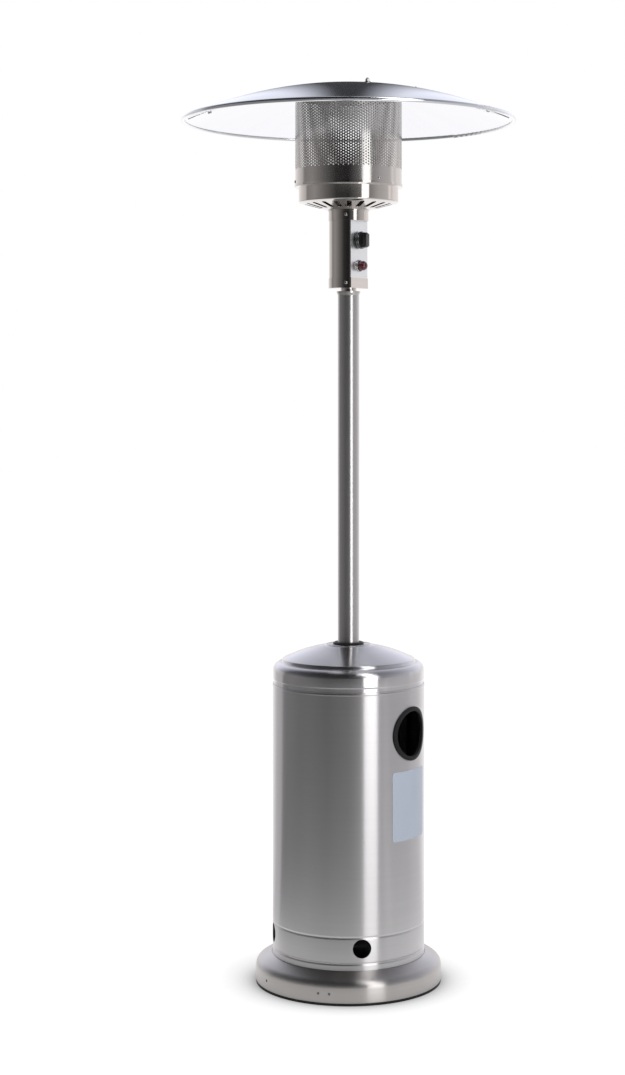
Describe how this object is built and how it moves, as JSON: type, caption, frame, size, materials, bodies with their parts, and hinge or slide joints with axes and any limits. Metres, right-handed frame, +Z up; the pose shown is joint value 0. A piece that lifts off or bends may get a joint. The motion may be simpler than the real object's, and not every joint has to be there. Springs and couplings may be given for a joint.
{
  "type": "patio heater",
  "caption": "Free-standing mushroom gas patio heater: wide round reflector over a perforated emitter, control head on a slim pole, and a lift-up cylinder housing on a dished base.",
  "frame": {"origin": "on the ground at the centre of the base", "axes": "+Z up along the pole, -Y towards the front, where the knob, igniter and handhold face"},
  "size_m": [0.826, 0.826, 2.2123],
  "materials": {
    "brushed_stainless": "brushed",
    "bright_stainless": "polished",
    "front_panel": "satin",
    "screen_steel": "satin",
    "reflector_sheet": "polished",
    "black_plastic": "satin",
    "button_red": "gloss",
    "bright_fixings": "polished",
    "painted_steel": "satin",
    "gas_brass": "satin",
    "white_ceramic": "satin",
    "white_plastic": "satin",
    "lead_rubber": "matt"
  },
  "bodies": {
    "stand": {"base_dish": "bright_stainless", "base_edge_trim": "black_plastic", "left_leg": "painted_steel", "right_leg": "painted_steel", "rear_leg": "painted_steel", "leg_foot_bolts": "bright_fixings", "leg_foot_nuts": "bright_fixings", "leg_top_bolts": "bright_fixings", "leg_top_nuts": "bright_fixings", "pole_plate": "painted_steel", "pole": "bright_stainless", "pole_collar": "bright_stainless", "neck_nut": "bright_fixings", "gas_inlet_fitting": "gas_brass", "gas_pipe": "gas_brass", "control_shell": "bright_stainless", "control_panel": "front_panel", "control_bottom_collar": "bright_stainless", "control_top_collar": "bright_stainless", "collar_screws": "bright_fixings", "gas_valve": "gas_brass", "igniter_body": "black_plastic", "igniter_bezel": "bright_fixings", "tilt_switch": "white_plastic", "burner_supply_pipe": "gas_brass", "burner_jet": "gas_brass", "burner_venturi": "screen_steel", "burner_bowl": "bright_stainless", "bowl_screws": "bright_fixings", "burner_plate": "screen_steel", "burner_head": "screen_steel", "pilot_burner": "gas_brass", "pilot_bracket": "screen_steel", "pilot_tube": "gas_brass", "thermocouple": "screen_steel", "thermocouple_lead": "gas_brass", "ignition_electrode": "white_ceramic", "ignition_lead": "lead_rubber", "emitter_screen": "screen_steel", "screen_screws": "bright_fixings", "emitter_top": "screen_steel", "reflector_studs": "bright_fixings", "reflector_spacers": "bright_fixings", "reflector_nuts": "bright_fixings", "reflector_half_left": "reflector_sheet", "reflector_half_right": "reflector_sheet", "seam_bolts": "bright_fixings", "seam_nuts": "bright_fixings"},
    "housing": {"housing_shell": "brushed_stainless", "housing_cap": "brushed_stainless", "pole_bushing": "black_plastic", "handhold_ring": "black_plastic"},
    "knob_slide": {"spindle_spring_cap": "bright_fixings"},
    "knob": {"control_knob": "black_plastic", "valve_spindle": "bright_fixings"},
    "igniter_button": {"igniter_button": "button_red"}
  },
  "joints": [
    {"name": "housing_lift", "type": "slide", "parent": "stand", "child": "housing", "axis": [0, 0, 1], "range_m": [0, 0.8]},
    {"name": "knob_push", "type": "slide", "parent": "stand", "child": "knob_slide", "axis": [0, 1, 0], "range_m": [0, 0.003], "stiffness_N_per_m": 2000},
    {"name": "knob_turn", "type": "hinge", "parent": "knob_slide", "child": "knob", "pos_m": [0, -0.04, 1.82463], "axis": [0, -1, 0], "range_deg": [0, 210]},
    {"name": "igniter_push", "type": "slide", "parent": "stand", "child": "igniter_button", "axis": [0, 1, 0], "range_m": [0, 0.005], "stiffness_N_per_m": 2000}
  ]
}
